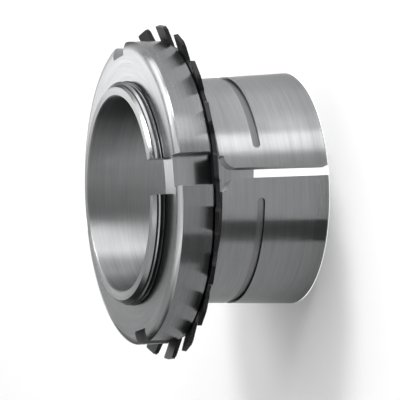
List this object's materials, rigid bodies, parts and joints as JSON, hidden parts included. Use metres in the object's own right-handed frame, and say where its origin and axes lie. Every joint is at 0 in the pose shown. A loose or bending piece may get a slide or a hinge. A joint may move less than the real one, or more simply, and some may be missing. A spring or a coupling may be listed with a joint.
{
  "type": "bearing adapter sleeve",
  "caption": "Tapered, slit adapter sleeve with oil groove, threaded end, slotted lock nut and tabbed lock washer, for clamping a tapered-bore bearing on a plain shaft.",
  "frame": {"origin": "centre of the bore at the face of the sleeve's large end, on which the part stands", "axes": "+Z along the bore axis towards the threaded end, -Y through the slit and the notch"},
  "size_m": [0.24, 0.2391, 0.13],
  "materials": {
    "sleeve_steel": "finely turned bright steel",
    "nut_steel": "finely turned bright steel",
    "black_washer": "black oxide, satin"
  },
  "bodies": {
    "sleeve": {"adapter_sleeve": "sleeve_steel"},
    "washer": {"lock_washer": "black_washer"},
    "nut": {"lock_nut": "nut_steel"}
  },
  "joints": [
    {"name": "washer_slide", "type": "slide", "parent": "sleeve", "child": "washer", "axis": [0, 0, 1], "range_m": [-0.0091, 0.0301]},
    {"name": "nut_turn", "type": "hinge", "parent": "washer", "child": "nut", "pos_m": [0, 0, 0.1], "axis": [0, 0, 1], "range_deg": [-1080, 3600]}
  ],
  "couplings": [
    {"joint": "washer_slide", "follows": "nut_turn", "m_per_rad": 0.00047746}
  ]
}
